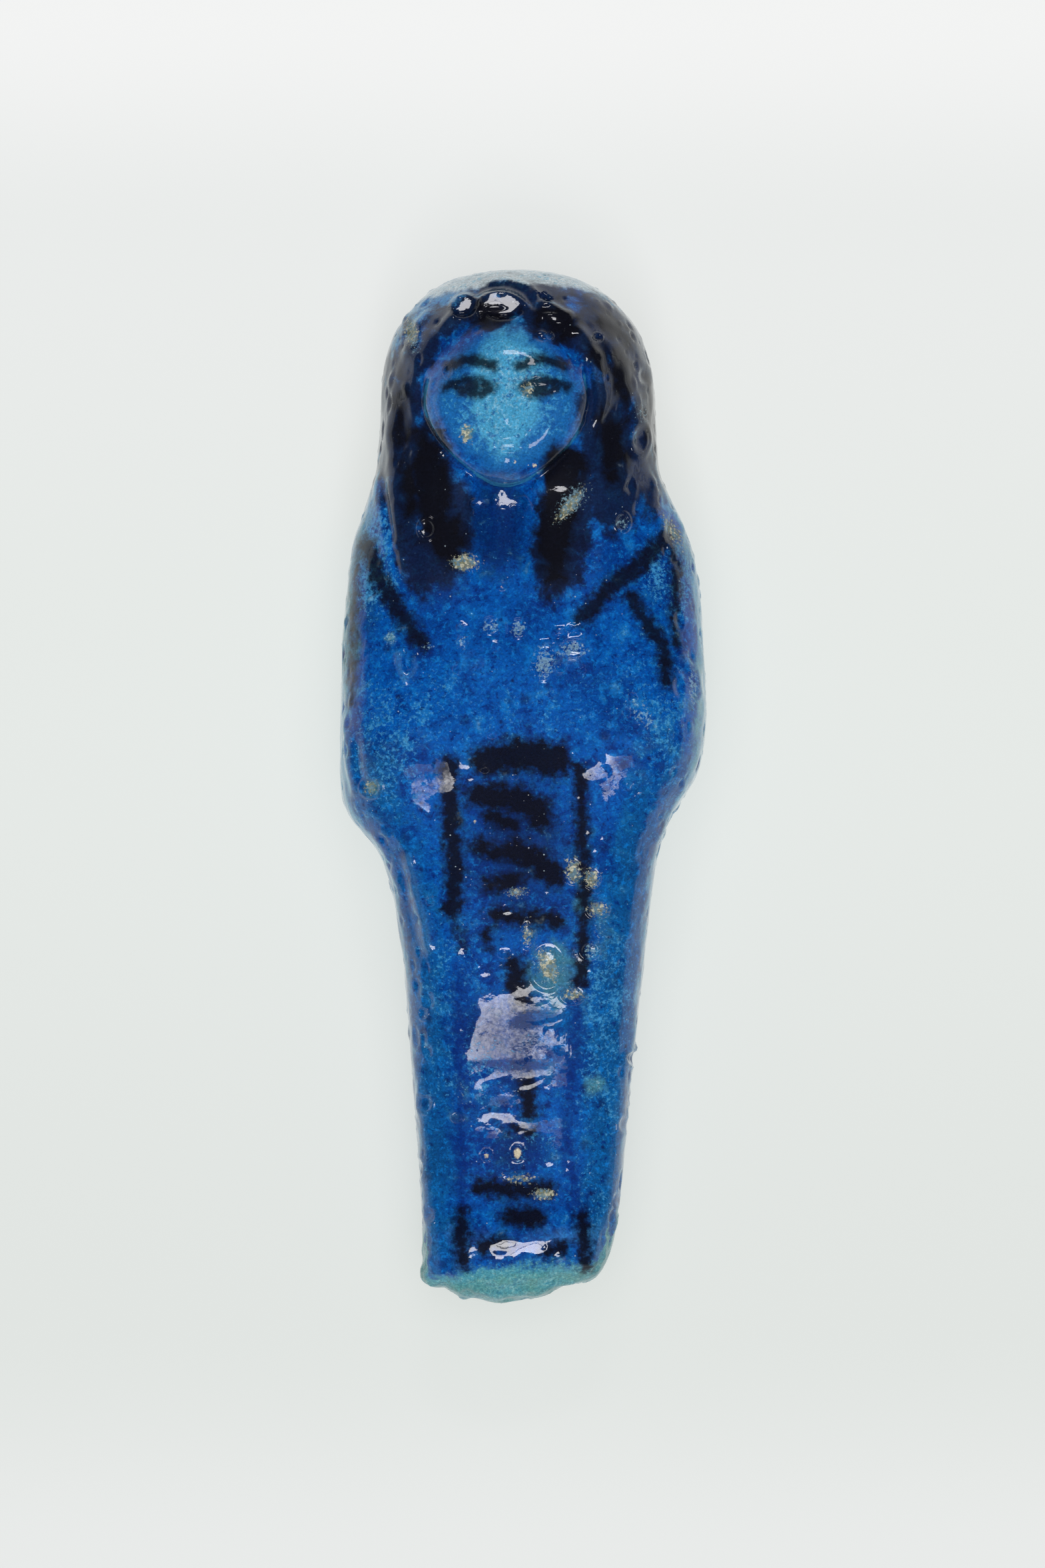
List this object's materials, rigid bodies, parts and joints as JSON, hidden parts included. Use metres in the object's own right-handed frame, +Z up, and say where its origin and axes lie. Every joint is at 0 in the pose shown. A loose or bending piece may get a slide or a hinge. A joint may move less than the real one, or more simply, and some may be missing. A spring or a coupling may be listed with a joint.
{
  "type": "ushabti figurine",
  "caption": "Small moulded mummiform funerary figure in blue glazed faience with dark painted wig and hoes, lying on its flattened back.",
  "frame": {"origin": "on the surface the figure lies on, under the middle of its box", "axes": "+Y towards the crown of the head, +Z up through the face, +X towards the right-hand side of the picture"},
  "size_m": [0.039, 0.11, 0.025],
  "materials": {
    "blue_faience": "glossy alkaline glaze over a quartz body, worn and pitted in places"
  },
  "bodies": {
    "root": {"ushabti_figurine": "blue_faience"}
  },
  "joints": []
}
